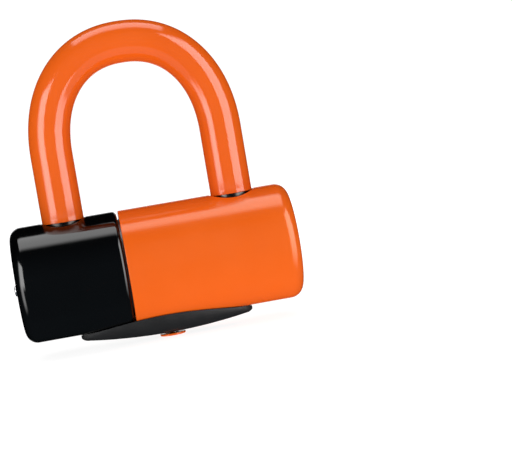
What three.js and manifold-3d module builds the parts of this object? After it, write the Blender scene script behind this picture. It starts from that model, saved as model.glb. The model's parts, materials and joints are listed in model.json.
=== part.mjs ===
// Disc brake lock: a U shackle that drops into a round crossbar and is held there by two
// deadbolts, which a disc cylinder throws sideways into notches in the shackle's legs.
//
// Millimetres. +X runs along the crossbar, +Z up along the shackle's legs, -Y is the front.
// The origin is on the ground under the middle of the lock. Inside the crossbar group, z = 0 is
// the crossbar's own axis.
//
// The lock is drawn unlocked: both bolts are drawn back and the shackle can be lifted out.

import * as THREE from 'three';
import { mergeVertices } from 'three/addons/utils/BufferGeometryUtils.js';
import Module from 'manifold-3d';

const wasm = await Module();
wasm.setup();

// Driving dimensions -------------------------------------------------------------------------

const GAP = 0.3; // clearance between neighbouring pieces

// Crossbar
const HALF_LENGTH = 52.6;
const HALF_HEIGHT = 21.8;
const HALF_DEPTH = 20.6;
const WALL = 3; // thickness of the housing's and the cap's round wall
const END_WALL = 3.3;
const SEAM_X = -11.5; // left edge of the housing
const SEAM_GAP = 0.6; // dark joint between the cap and the housing
const CAP_FILLET = 4.4;
const HOUSING_FILLET = 5.6;
const SEAM_FILLET = 1.6; // round edge of the cap at the joint

// Shackle
const BAR_RADIUS = 7; // 14 mm hardened bar
const COAT_RADIUS = 7.85;
const COAT_CLEARANCE = 0.25;
const LEG_X = 31.9;
const ARCH_START_Z = 45.5;
const ARCH_RISE = 38.3;
const ARCH_SQUARENESS = 2.2; // 2 is a true oval; a little more eases the bend into the legs
const LEG_END_Z = -12.2;
const COAT_END_Z = 21.1;
const LEG_HOLE_RADIUS = 8.4; // hole for the coated leg in the cap and the housing

// Bolts and their drive
const BOLT_Z = 5;
const BOLT_RADIUS = 5;
const QUARTER_TURN = Math.PI / 2;
const BOLT_STROKE = 3 * QUARTER_TURN; // 3 mm for each radian that the cylinder turns
const CRANK_RADIUS = BOLT_STROKE / Math.SQRT2; // the pins swing 45 degrees either side of Y
const CRANK_PIN_RADIUS = 1.2;
const BOLT_TIP_X = 24.2; // with the bolts drawn back
const NOTCH_X = 29.3; // bottom of the notch in a leg
const LAP_LENGTH = 6; // how far a bolt's tail reaches past the cylinder's axis, and back

// Lock cylinder
const LOCK_X = 1.4; // the cylinder sits a little right of the middle
const BARREL_RADIUS = 8.4;
const BARREL_TOP_Z = -4.4;
const BARREL_SHOULDER_Z = -15.8;
const NOSE_RADIUS = 5.4;
const NOSE_Z = -21.4;
const CARRIER_RADIUS = 6.1;
const CARRIER_BORE = 5.3;
const CARRIER_FLOOR_Z = -13.6;
const DISC_RADIUS = 5;
const DISC_THICKNESS = 0.85;
const SPACER_THICKNESS = 0.5;
const STACK_GAP = 0.15;
const DISC_CODE = [0, 2, 1, 3, 2]; // code steps of the discs, bottom to top
const CODE_STEP = Math.PI / 10;
const KEY_WIDTH = 2.6;
const KEY_HEIGHT = 6.4;
const SIDEBAR_WIDTH = 1.6;
const CAM_RADIUS = 7.6;
const CAM_BOTTOM_Z = -4.2;
const CAM_TOP_Z = -0.7;

// Keyway bezel on the underside, and its dust cover
const BEZEL_HALF_LENGTH = 32.6;
const BEZEL_HALF_WIDTH = 11;
const BEZEL_POINT = 0.55; // 0.5 gives an oval plan, 1 a sharp lens
const BEZEL_TOP_Z = -15;
const BEZEL_END_DEPTH = 2.6; // below the crossbar at the two ends
const BEZEL_CROWN = 2.1; // more depth in the middle
const BEZEL_Z = -(HALF_HEIGHT + BEZEL_END_DEPTH + BEZEL_CROWN);
const RIVET_X = 18.5;
const COVER_THICKNESS = 0.9;
const COVER_RADIUS = 4.85;
const COVER_EYE_RADIUS = 3.4;
const PIVOT_Y = 7.6;

// The crossbar's axis above the ground, with the dust cover as the lowest piece
const COVER_Z = BEZEL_Z - GAP - COVER_THICKNESS;
const AXIS_Z = -COVER_Z;

const ROUND = 24; // sides of a plain round piece
const BODY_SIDES = 40;

// Materials ----------------------------------------------------------------------------------

function finish(color, roughness, metalness) {
  return new THREE.MeshStandardMaterial({ color, roughness, metalness });
}

const orangePlastic = finish(0xf2641f, 0.22, 0);
const blackPlastic = finish(0x101012, 0.15, 0);
const satinPlastic = finish(0x26262a, 0.5, 0);
const darkSteel = finish(0x3a3a3e, 0.35, 1);
const brightSteel = finish(0xb8b8bc, 0.3, 1);
const brass = finish(0xc2a35a, 0.35, 1);
const coreSteel = finish(0x6a6a70, 0.45, 1);

// Solids -------------------------------------------------------------------------------------

// A closed geometry as a solid that can be joined and cut.
function solid(geometry) {
  const bare = geometry.clone();
  bare.deleteAttribute('normal');
  bare.deleteAttribute('uv');
  const merged = mergeVertices(bare, 1e-4);
  const index = merged.index.array;
  const faces = [];
  for (let i = 0; i < index.length; i += 3) {
    const [a, b, c] = [index[i], index[i + 1], index[i + 2]];
    if (a !== b && b !== c && c !== a) {
      faces.push(a, b, c);
    }
  }
  const mesh = new wasm.Mesh({
    numProp: 3,
    vertProperties: new Float32Array(merged.attributes.position.array),
    triVerts: new Uint32Array(faces),
  });
  return new wasm.Manifold(mesh);
}

function box([x0, x1], [y0, y1], [z0, z1]) {
  const geometry = new THREE.BoxGeometry(x1 - x0, y1 - y0, z1 - z0);
  geometry.translate((x0 + x1) / 2, (y0 + y1) / 2, (z0 + z1) / 2);
  return solid(geometry);
}

function cylinderX(radius, [x0, x1], y, z, sides = ROUND) {
  const geometry = new THREE.CylinderGeometry(radius, radius, x1 - x0, sides);
  geometry.rotateZ(Math.PI / 2);
  geometry.translate((x0 + x1) / 2, y, z);
  return solid(geometry);
}

function cylinderY(radius, x, [y0, y1], z, sides = ROUND) {
  const geometry = new THREE.CylinderGeometry(radius, radius, y1 - y0, sides);
  geometry.translate(x, (y0 + y1) / 2, z);
  return solid(geometry);
}

function cylinderZ(radius, x, y, [z0, z1], sides = ROUND) {
  const geometry = new THREE.CylinderGeometry(radius, radius, z1 - z0, sides);
  geometry.rotateX(Math.PI / 2);
  geometry.translate(x, y, (z0 + z1) / 2);
  return solid(geometry);
}

// A shape drawn in X and Y, standing from z0 to z1.
function prismZ(shape, [z0, z1]) {
  const geometry = new THREE.ExtrudeGeometry(shape, { depth: z1 - z0, bevelEnabled: false });
  geometry.translate(0, 0, z0);
  return solid(geometry);
}

// A closed profile of [radius, z] points turned about a vertical axis at x, y.
function turnedZ(profile, x, y, sides = ROUND) {
  const points = profile.map(([radius, z]) => new THREE.Vector2(radius, z));
  const geometry = new THREE.LatheGeometry(points, sides);
  geometry.rotateX(Math.PI / 2);
  geometry.translate(x, y, 0);
  return solid(geometry);
}

// Cuts every tool out of a solid.
function cut(body, ...tools) {
  return tools.reduce((rest, tool) => rest.subtract(tool), body);
}

function toGeometry(body) {
  const mesh = body.getMesh();
  const geometry = new THREE.BufferGeometry();
  geometry.setAttribute('position', new THREE.BufferAttribute(mesh.vertProperties, 3));
  geometry.setIndex(new THREE.BufferAttribute(mesh.triVerts, 1));
  geometry.computeVertexNormals();
  return geometry;
}

const lock = new THREE.Group();
const crossbar = new THREE.Group();
crossbar.position.z = AXIS_Z;
lock.add(crossbar);

function addPart(name, body, material) {
  const mesh = new THREE.Mesh(toGeometry(body), material);
  mesh.name = name;
  crossbar.add(mesh);
}

// A round bar along X with an oval section and round edges at its ends.
function ovalBar([x0, x1], halfHeight, halfDepth, lowFillet = 0, highFillet = 0) {
  const profile = [new THREE.Vector2(0, x0)];
  const edge = (centreX, fillet, from, to) => {
    const steps = 4;
    for (let i = 0; i <= steps; i += 1) {
      const angle = from + ((to - from) * i) / steps;
      const radius = halfHeight - fillet + fillet * Math.cos(angle);
      profile.push(new THREE.Vector2(radius, centreX + fillet * Math.sin(angle)));
    }
  };
  if (lowFillet > 0) {
    edge(x0 + lowFillet, lowFillet, -QUARTER_TURN, 0);
  } else {
    profile.push(new THREE.Vector2(halfHeight, x0));
  }
  if (highFillet > 0) {
    edge(x1 - highFillet, highFillet, 0, QUARTER_TURN);
  } else {
    profile.push(new THREE.Vector2(halfHeight, x1));
  }
  profile.push(new THREE.Vector2(0, x1));
  const geometry = new THREE.LatheGeometry(profile, BODY_SIDES);
  geometry.rotateZ(-Math.PI / 2);
  geometry.scale(1, halfDepth / halfHeight, 1);
  return solid(geometry);
}

// Shackle ------------------------------------------------------------------------------------

function signedPower(value, power) {
  return Math.sign(value) * Math.abs(value) ** power;
}

// The bar's centre line: up the left leg, over a slightly squared oval arch, down the right leg.
// Each leg is one step and the arch takes all the others.
class ShackleLine extends THREE.Curve {
  constructor(legEndZ, steps) {
    super();
    this.legEndZ = legEndZ;
    this.legShare = 1 / steps;
  }

  getPoint(t, target = new THREE.Vector3()) {
    const share = this.legShare;
    const legHeight = ARCH_START_Z - this.legEndZ;
    if (t < share) {
      return target.set(-LEG_X, 0, this.legEndZ + legHeight * (t / share));
    }
    if (t > 1 - share) {
      return target.set(LEG_X, 0, this.legEndZ + legHeight * ((1 - t) / share));
    }
    const angle = (Math.PI * (t - share)) / (1 - 2 * share);
    const x = -LEG_X * signedPower(Math.cos(angle), 2 / ARCH_SQUARENESS);
    const rise = ARCH_RISE * signedPower(Math.sin(angle), 2 / ARCH_SQUARENESS);
    return target.set(x, 0, ARCH_START_Z + rise);
  }

  getPointAt(u, target) {
    return this.getPoint(u, target);
  }

  getTangentAt(u, target = new THREE.Vector3()) {
    const share = this.legShare;
    if (u <= share) {
      return target.set(0, 0, 1);
    }
    if (u >= 1 - share) {
      return target.set(0, 0, -1);
    }
    const angle = (Math.PI * (u - share)) / (1 - 2 * share);
    const power = 2 - 2 / ARCH_SQUARENESS;
    const run = LEG_X * signedPower(Math.sin(angle), power);
    const climb = ARCH_RISE * signedPower(Math.cos(angle), power);
    return target.set(run, 0, climb).normalize();
  }
}

const BAR_SIDES = 18;
const SHACKLE_STEPS = 22;

function ring(radius) {
  const points = [];
  for (let i = 0; i < BAR_SIDES; i += 1) {
    const angle = (2 * Math.PI * i) / BAR_SIDES;
    points.push(new THREE.Vector2(radius * Math.cos(angle), radius * Math.sin(angle)));
  }
  return points;
}

function shackleSweep(radius, legEndZ, boreRadius = 0) {
  const section = new THREE.Shape(ring(radius));
  if (boreRadius > 0) {
    section.holes.push(new THREE.Path(ring(boreRadius)));
  }
  const geometry = new THREE.ExtrudeGeometry(section, {
    steps: SHACKLE_STEPS,
    bevelEnabled: false,
    extrudePath: new ShackleLine(legEndZ, SHACKLE_STEPS),
  });
  return solid(geometry);
}

function makeShackle() {
  const notchRadius = BOLT_RADIUS + 0.4;
  const bar = cut(
    shackleSweep(BAR_RADIUS, LEG_END_Z),
    cylinderX(notchRadius, [-NOTCH_X, -NOTCH_X + 8], 0, BOLT_Z),
    cylinderX(notchRadius, [NOTCH_X - 8, NOTCH_X], 0, BOLT_Z),
  );
  addPart('shackle_bar', bar, darkSteel);
  const coating = shackleSweep(COAT_RADIUS, COAT_END_Z, BAR_RADIUS + COAT_CLEARANCE);
  addPart('shackle_coating', coating, orangePlastic);
}

// Crossbar -----------------------------------------------------------------------------------

const CORE_HALF_HEIGHT = HALF_HEIGHT - WALL - GAP;
const CORE_HALF_DEPTH = HALF_DEPTH - WALL - GAP;
const CORE_HALF_LENGTH = HALF_LENGTH - END_WALL - GAP;
const SOCKET_RADIUS = BAR_RADIUS + 0.4;
const CHANNEL_RADIUS = BOLT_RADIUS + GAP;
const SHANK_RADIUS = 1.5;
const RIVET_TOP_Z = -9;
const END_PIN_RADIUS = 1.2;
const END_PIN_Y = -6;
const END_PIN_Z = -1;
const END_PIN_DEPTH_X = -43;
const BARREL_PIN_X = LOCK_X + BARREL_RADIUS;
const BARREL_PIN_Z = -10;
const INDEX_Z = (CAM_BOTTOM_Z + CAM_TOP_Z) / 2 + 0.3;
const INDEX_BALL_RADIUS = 1.3;

function makeCore() {
  const bar = ovalBar([-CORE_HALF_LENGTH, CORE_HALF_LENGTH], CORE_HALF_HEIGHT, CORE_HALF_DEPTH);
  const socket = (x) => cylinderZ(SOCKET_RADIUS, x, 0, [LEG_END_Z - 0.4, HALF_HEIGHT]);
  const rivetHole = (x) => {
    const reach = [-HALF_HEIGHT, RIVET_TOP_Z + GAP];
    return cylinderZ(SHANK_RADIUS + GAP, x, 0, reach);
  };
  const core = cut(
    bar,
    socket(-LEG_X),
    socket(LEG_X),
    cylinderX(CHANNEL_RADIUS, [-HALF_LENGTH, LEG_X - 1], 0, BOLT_Z),
    cylinderZ(BARREL_RADIUS + GAP, LOCK_X, 0, [-HALF_HEIGHT, CAM_TOP_Z + GAP]),
    cylinderZ(CRANK_RADIUS + CRANK_PIN_RADIUS + 2 * GAP, LOCK_X, 0, [CAM_TOP_Z, BOLT_Z - 2]),
    cylinderY(SHANK_RADIUS + GAP, BARREL_PIN_X, [-HALF_DEPTH, HALF_DEPTH], BARREL_PIN_Z),
    cylinderY(INDEX_BALL_RADIUS + GAP, LOCK_X, [CAM_RADIUS, HALF_DEPTH], INDEX_Z),
    cylinderX(END_PIN_RADIUS + GAP, [-HALF_LENGTH, END_PIN_DEPTH_X], END_PIN_Y, END_PIN_Z),
    rivetHole(-RIVET_X),
    rivetHole(RIVET_X),
  );
  addPart('crossbar_core', core, coreSteel);

  const plugEnd = -CORE_HALF_LENGTH + 6.5;
  addPart('channel_plug', cylinderX(BOLT_RADIUS, [-CORE_HALF_LENGTH, plugEnd], 0, BOLT_Z), darkSteel);
  const pinReach = 11.5;
  const barrelPin = cylinderY(SHANK_RADIUS, BARREL_PIN_X, [-pinReach, pinReach], BARREL_PIN_Z);
  addPart('barrel_pin', barrelPin, brightSteel);
}

function makeShells() {
  const innerHeight = HALF_HEIGHT - WALL;
  const innerDepth = HALF_DEPTH - WALL;
  const innerEnd = HALF_LENGTH - END_WALL;
  const hollow = (range) => ovalBar(range, innerHeight, innerDepth);
  const legHole = (x) => cylinderZ(LEG_HOLE_RADIUS, x, 0, [0, HALF_HEIGHT + 1]);
  const rivetHole = (x) => cylinderZ(SHANK_RADIUS + GAP, x, 0, [-HALF_HEIGHT - 1, 0]);

  const capRight = SEAM_X - SEAM_GAP;
  const cap = cut(
    ovalBar([-HALF_LENGTH, capRight], HALF_HEIGHT, HALF_DEPTH, CAP_FILLET, SEAM_FILLET),
    hollow([-innerEnd, capRight + 1]),
    legHole(-LEG_X),
    rivetHole(-RIVET_X),
    cylinderX(END_PIN_RADIUS + GAP, [-HALF_LENGTH - 1, -innerEnd + 1], END_PIN_Y, END_PIN_Z),
  );
  addPart('end_cap', cap, blackPlastic);

  const housing = cut(
    ovalBar([SEAM_X, HALF_LENGTH], HALF_HEIGHT, HALF_DEPTH, 0, HOUSING_FILLET),
    hollow([SEAM_X - 1, innerEnd]),
    legHole(LEG_X),
    rivetHole(RIVET_X),
    cylinderZ(NOSE_RADIUS + GAP, LOCK_X, 0, [-HALF_HEIGHT - 1, 0]),
  );
  addPart('orange_housing', housing, orangePlastic);

  const headRadius = 1.95;
  const headHeight = 1.2;
  const head = cylinderX(
    headRadius,
    [-HALF_LENGTH - headHeight, -HALF_LENGTH - 0.05],
    END_PIN_Y,
    END_PIN_Z,
  );
  const shank = cylinderX(
    END_PIN_RADIUS,
    [-HALF_LENGTH - headHeight / 2, END_PIN_DEPTH_X - GAP],
    END_PIN_Y,
    END_PIN_Z,
  );
  addPart('end_cap_pin', head.add(shank), brightSteel);
}

// Bolts --------------------------------------------------------------------------------------

// The right bolt's tail passes the cylinder in front, the left bolt's behind. Each tail has a
// slot across it for its crank pin. side is 1 for the right bolt and -1 for the left one.
function makeBolt(name, side) {
  const tip = side * BOLT_TIP_X;
  const tailEnd = LOCK_X - side * LAP_LENGTH;
  const shoulder = LOCK_X + side * (LAP_LENGTH + 0.6);
  const pinX = LOCK_X - (side * CRANK_RADIUS) / Math.SQRT2;
  const span = (a, b) => [Math.min(a, b), Math.max(a, b)];
  const halfSlot = CRANK_PIN_RADIUS + 0.4;
  const far = side * (BOLT_RADIUS + 1);
  const bolt = cut(
    cylinderX(BOLT_RADIUS, span(tailEnd, tip), 0, BOLT_Z),
    box(
      span(tailEnd - side, shoulder),
      span(far, -side * 0.2),
      [BOLT_Z - BOLT_RADIUS - 1, BOLT_Z + BOLT_RADIUS + 1],
    ),
    box(
      [pinX - halfSlot, pinX + halfSlot],
      span(-side * 0.7, -far),
      [BOLT_Z - BOLT_RADIUS - 1, BOLT_Z],
    ),
  );
  addPart(name, bolt, brightSteel);
}

// Lock cylinder ------------------------------------------------------------------------------

function keySlot(angle, [z0, z1]) {
  const geometry = new THREE.BoxGeometry(KEY_WIDTH, KEY_HEIGHT, z1 - z0);
  geometry.rotateZ(angle);
  geometry.translate(LOCK_X, 0, (z0 + z1) / 2);
  return solid(geometry);
}

// A bar-shaped cut along Z at the left of the cylinder, where the sidebar lies.
function sidebarCut(radiusFrom, radiusTo, halfWidth, range) {
  return box([LOCK_X - radiusTo, LOCK_X - radiusFrom], [-halfWidth, halfWidth], range);
}

function makeBarrel() {
  const bore = CARRIER_RADIUS + GAP;
  const pocket = CARRIER_FLOOR_Z - 1.2;
  const plateSeat = NOSE_Z + 1;
  const plateRadius = 4.1;
  const barrel = cut(
    turnedZ(
      [
        [0, NOSE_Z],
        [NOSE_RADIUS, NOSE_Z],
        [NOSE_RADIUS, BARREL_SHOULDER_Z],
        [BARREL_RADIUS, BARREL_SHOULDER_Z],
        [BARREL_RADIUS, BARREL_TOP_Z],
        [0, BARREL_TOP_Z],
      ],
      LOCK_X,
      0,
    ),
    cylinderZ(bore, LOCK_X, 0, [pocket, BARREL_TOP_Z + 1]),
    cylinderZ(plateRadius + GAP, LOCK_X, 0, [plateSeat, pocket + 1]),
    cylinderZ(plateRadius - 0.5, LOCK_X, 0, [NOSE_Z - 1, plateSeat + 1]),
    // groove that the sidebar springs into when the cylinder is locked
    box([LOCK_X - 1.1, LOCK_X + 1.1], [bore - 1, bore + 0.8], [CARRIER_FLOOR_Z, BARREL_TOP_Z + 1]),
    cylinderY(SHANK_RADIUS + GAP, BARREL_PIN_X, [-HALF_DEPTH, HALF_DEPTH], BARREL_PIN_Z),
  );
  addPart('lock_barrel', barrel, brass);

  const plateTop = plateSeat + 1.6;
  const plate = cut(
    cylinderZ(plateRadius, LOCK_X, 0, [plateSeat + STACK_GAP, plateTop]),
    keySlot(0, [plateSeat - 1, plateTop + 1]),
  );
  addPart('anti_drill_plate', plate, darkSteel);

  // The carrier: a tube with a nose that reaches down to the plate, open at the top.
  const carrierTop = BARREL_TOP_Z - 0.1;
  const carrierBottom = pocket + STACK_GAP;
  const lugTop = CAM_BOTTOM_Z + 1.2;
  const lugs = cut(
    cylinderZ(CARRIER_RADIUS, LOCK_X, 0, [carrierTop - 1, lugTop]),
    box([LOCK_X - 9, LOCK_X + 9], [1.5, 9], [carrierTop, 0]),
    box([LOCK_X - 9, LOCK_X + 9], [-9, -1.5], [carrierTop, 0]),
  );
  const carrier = cut(
    cylinderZ(CARRIER_RADIUS, LOCK_X, 0, [carrierBottom, carrierTop])
      .add(cylinderZ(plateRadius, LOCK_X, 0, [plateTop + STACK_GAP, carrierBottom + 0.5]))
      .add(lugs),
    cylinderZ(CARRIER_BORE, LOCK_X, 0, [CARRIER_FLOOR_Z, 0]),
    keySlot(0, [NOSE_Z, CARRIER_FLOOR_Z + 1]),
    sidebarCut(CARRIER_BORE - 1, CARRIER_RADIUS + 1, SIDEBAR_WIDTH / 2 + GAP, [
      CARRIER_FLOOR_Z + 0.2,
      carrierTop - 0.9,
    ]),
  );
  addPart('disc_carrier', carrier, brass);
}

function makeDiscs() {
  let z = CARRIER_FLOOR_Z + STACK_GAP;
  DISC_CODE.forEach((step, i) => {
    const range = [z, z + DISC_THICKNESS];
    const disc = cut(
      cylinderZ(DISC_RADIUS, LOCK_X, 0, range),
      keySlot(step * CODE_STEP, [z - 1, z + 2]),
      sidebarCut(DISC_RADIUS - 0.7, DISC_RADIUS + 1, SIDEBAR_WIDTH / 2 + GAP, [z - 1, z + 2]),
    );
    addPart(`code_disc_${i + 1}`, disc, brass);
    z = range[1] + STACK_GAP;
    if (i < DISC_CODE.length - 1) {
      const spacer = cut(
        cylinderZ(DISC_RADIUS, LOCK_X, 0, [z, z + SPACER_THICKNESS]),
        cylinderZ(KEY_HEIGHT / 2 + 0.4, LOCK_X, 0, [z - 1, z + 1]),
        sidebarCut(DISC_RADIUS - 0.7, DISC_RADIUS + 1, SIDEBAR_WIDTH / 2 + GAP, [z - 1, z + 1]),
      );
      addPart(`disc_spacer_${i + 1}`, spacer, brightSteel);
      z += SPACER_THICKNESS + STACK_GAP;
    }
  });
  const sidebar = sidebarCut(DISC_RADIUS - 0.45, CARRIER_RADIUS, SIDEBAR_WIDTH / 2, [
    CARRIER_FLOOR_Z + 0.5,
    BARREL_TOP_Z - 1.4,
  ]);
  addPart('sidebar', sidebar, brightSteel);
}

function makeCam() {
  const pinOffset = CRANK_RADIUS / Math.SQRT2;
  const pinRange = [CAM_TOP_Z - 1, BOLT_Z - 0.8];
  const crankPin = (sign) => {
    const x = LOCK_X + sign * pinOffset;
    return cylinderZ(CRANK_PIN_RADIUS, x, sign * pinOffset, pinRange, 20);
  };
  const lugSlot = box(
    [LOCK_X - CARRIER_RADIUS - GAP, LOCK_X + CARRIER_RADIUS + GAP],
    [-1.5 - GAP, 1.5 + GAP],
    [CAM_BOTTOM_Z - 1, CAM_BOTTOM_Z + 1.2 + GAP],
  );
  const dimple = (x, y) => {
    const geometry = new THREE.SphereGeometry(INDEX_BALL_RADIUS + GAP, 14, 10);
    geometry.rotateX(Math.PI / 2);
    geometry.translate(LOCK_X + x, y, INDEX_Z);
    return solid(geometry);
  };
  const dimpleRadius = CAM_RADIUS + INDEX_BALL_RADIUS - 0.3;
  const cam = cut(
    cylinderZ(CAM_RADIUS, LOCK_X, 0, [CAM_BOTTOM_Z, CAM_TOP_Z]).add(crankPin(1)).add(crankPin(-1)),
    lugSlot,
    dimple(0, dimpleRadius),
    dimple(dimpleRadius, 0),
  );
  addPart('cam_driver', cam, darkSteel);

  const ballY = CAM_RADIUS + INDEX_BALL_RADIUS + 0.15;
  const ball = new THREE.SphereGeometry(INDEX_BALL_RADIUS, 14, 10);
  ball.translate(LOCK_X, ballY, INDEX_Z);
  addPart('index_ball', solid(ball), brightSteel);

  // Coil spring behind the ball
  const springFrom = ballY + INDEX_BALL_RADIUS + 0.4;
  const springTo = CORE_HALF_DEPTH - 0.8;
  const turns = 4;
  const coil = new THREE.CatmullRomCurve3(
    Array.from({ length: turns * 8 + 1 }, (unused, i) => {
      const angle = (i * Math.PI) / 4;
      const y = springFrom + ((springTo - springFrom) * i) / (turns * 8);
      return new THREE.Vector3(LOCK_X + 0.95 * Math.cos(angle), y, INDEX_Z + 0.95 * Math.sin(angle));
    }),
  );
  const wire = new THREE.Shape();
  wire.absarc(0, 0, 0.22, 0, 2 * Math.PI);
  const spring = new THREE.ExtrudeGeometry(wire, {
    steps: turns * 10,
    curveSegments: 3,
    bevelEnabled: false,
    extrudePath: coil,
  });
  addPart('index_spring', solid(spring), brightSteel);
}

// Keyway bezel and dust cover ----------------------------------------------------------------

// Points of a smooth outline: half = f(x) on one side, mirrored on the other.
function mirroredOutline(halfLength, half, count) {
  const upper = [];
  for (let i = 0; i <= count; i += 1) {
    const x = -halfLength * Math.cos((Math.PI * i) / count);
    upper.push(new THREE.Vector2(x, half(x)));
  }
  const lower = upper.slice(1, -1).map((p) => new THREE.Vector2(p.x, -p.y));
  return upper.concat(lower.reverse());
}

function bezelPlan() {
  const half = (x) => {
    const room = Math.max(0, 1 - (x / BEZEL_HALF_LENGTH) ** 2);
    return BEZEL_HALF_WIDTH * room ** BEZEL_POINT;
  };
  return new THREE.Shape(mirroredOutline(BEZEL_HALF_LENGTH, half, 24));
}

// Side view, drawn in X and Z: a low crown between two round lower corners.
function bezelSideView() {
  const corner = 3;
  const side = new THREE.Shape();
  side.moveTo(-BEZEL_HALF_LENGTH - 1, BEZEL_TOP_Z);
  side.lineTo(-BEZEL_HALF_LENGTH - 1, BEZEL_Z + BEZEL_CROWN + corner);
  const endZ = -HALF_HEIGHT - BEZEL_END_DEPTH;
  side.quadraticCurveTo(-BEZEL_HALF_LENGTH, endZ, -BEZEL_HALF_LENGTH + corner, endZ);
  side.quadraticCurveTo(0, endZ - 2 * BEZEL_CROWN, BEZEL_HALF_LENGTH - corner, endZ);
  side.quadraticCurveTo(
    BEZEL_HALF_LENGTH,
    endZ,
    BEZEL_HALF_LENGTH + 1,
    BEZEL_Z + BEZEL_CROWN + corner,
  );
  side.lineTo(BEZEL_HALF_LENGTH + 1, BEZEL_TOP_Z);
  return side;
}

// End view, drawn in Y and Z: a squarish half oval.
function bezelEndView() {
  const halfWidth = BEZEL_HALF_WIDTH + 0.4;
  const depth = BEZEL_TOP_Z - BEZEL_Z;
  const squareness = 2.6;
  const count = 18;
  const points = [];
  for (let i = 0; i <= count; i += 1) {
    const angle = Math.PI + (Math.PI * i) / count;
    const cos = Math.cos(angle);
    const sin = Math.sin(angle);
    const y = halfWidth * signedPower(cos, 2 / squareness);
    const z = BEZEL_TOP_Z - depth * Math.abs(sin) ** (2 / squareness);
    points.push(new THREE.Vector2(y, z));
  }
  return new THREE.Shape(points);
}

function makeBezel() {
  const sideGeometry = new THREE.ExtrudeGeometry(bezelSideView(), {
    depth: 2 * HALF_DEPTH,
    bevelEnabled: false,
    curveSegments: 10,
  });
  sideGeometry.translate(0, 0, -HALF_DEPTH);
  sideGeometry.rotateX(Math.PI / 2);
  const endGeometry = new THREE.ExtrudeGeometry(bezelEndView(), {
    depth: 2 * HALF_LENGTH,
    bevelEnabled: false,
  });
  endGeometry.translate(0, 0, -HALF_LENGTH);
  endGeometry.rotateY(QUARTER_TURN);
  endGeometry.rotateX(QUARTER_TURN);
  const blank = prismZ(bezelPlan(), [BEZEL_Z - 1, BEZEL_TOP_Z])
    .intersect(solid(sideGeometry))
    .intersect(solid(endGeometry));

  const headRadius = 2.6;
  const headSeat = BEZEL_Z + 2.2;
  const low = BEZEL_Z - 1;
  const holes = [];
  for (const x of [-RIVET_X, RIVET_X]) {
    holes.push(cylinderZ(SHANK_RADIUS + GAP, x, 0, [low, 0]));
    holes.push(cylinderZ(headRadius + GAP, x, 0, [low, headSeat]));
    const shank = cylinderZ(SHANK_RADIUS, x, 0, [headSeat - 0.6, RIVET_TOP_Z]);
    const head = cylinderZ(headRadius, x, 0, [headSeat - 1.2, headSeat - 0.1]);
    const name = x < 0 ? 'bezel_rivet_left' : 'bezel_rivet_right';
    addPart(name, head.add(shank), darkSteel);
  }

  const pinRadius = 1.2;
  const washerRadius = 2.6;
  const washerSeat = BEZEL_Z + 0.8;
  const bezel = cut(
    blank,
    ovalBar([-HALF_LENGTH, HALF_LENGTH], HALF_HEIGHT + GAP, HALF_DEPTH + GAP),
    cylinderZ(NOSE_RADIUS + GAP, LOCK_X, 0, [NOSE_Z - GAP, 0]),
    cylinderZ(4, LOCK_X, 0, [low, NOSE_Z]),
    cylinderZ(pinRadius + GAP, LOCK_X, PIVOT_Y, [low, 0]),
    cylinderZ(washerRadius + GAP, LOCK_X, PIVOT_Y, [low, washerSeat]),
    ...holes,
  );
  addPart('keyway_bezel', bezel, satinPlastic);

  const washer = cut(
    cylinderZ(washerRadius, LOCK_X, PIVOT_Y, [BEZEL_Z + 0.1, washerSeat - 0.1]),
    cylinderZ(pinRadius + GAP, LOCK_X, PIVOT_Y, [low, 0]),
  );
  addPart('cover_washer', washer, brightSteel);

  // Dust cover: a round lid over the keyhole that tapers back to an eye on its rivet.
  const coverTop = BEZEL_Z - GAP;
  const outline = new THREE.Shape();
  const spread = Math.asin((COVER_RADIUS - COVER_EYE_RADIUS) / PIVOT_Y);
  outline.absarc(LOCK_X, 0, COVER_RADIUS, Math.PI - spread, 2 * Math.PI + spread, false);
  outline.absarc(LOCK_X, PIVOT_Y, COVER_EYE_RADIUS, spread, Math.PI - spread, false);
  const eyeRecess = 2.3;
  const cover = cut(
    prismZ(outline, [COVER_Z, coverTop]),
    cylinderZ(pinRadius + GAP, LOCK_X, PIVOT_Y, [COVER_Z - 1, coverTop + 1]),
    cylinderZ(eyeRecess, LOCK_X, PIVOT_Y, [COVER_Z - 1, COVER_Z + 0.45]),
  );
  addPart('dust_cover', cover, orangePlastic);

  const rivetHead = cylinderZ(eyeRecess - GAP, LOCK_X, PIVOT_Y, [COVER_Z + 0.05, COVER_Z + 0.35]);
  const rivetShank = cylinderZ(pinRadius, LOCK_X, PIVOT_Y, [COVER_Z + 0.2, BEZEL_Z + 4]);
  addPart('cover_rivet', rivetHead.add(rivetShank), brightSteel);
}

makeShackle();
makeCore();
makeShells();
makeBolt('deadbolt_left', -1);
makeBolt('deadbolt_right', 1);
makeBarrel();
makeDiscs();
makeCam();
makeBezel();

export default lock;
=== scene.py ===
"""Looks of the disc brake lock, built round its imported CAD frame.

Shapes are worked out in millimetres and made in metres. +X runs along the crossbar towards its
closed orange end, -Y is the front and +Z runs up along the shackle's legs.
"""

import json
import math

import bmesh
import bpy
import numpy as np
from mathutils import Matrix, Vector


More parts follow.
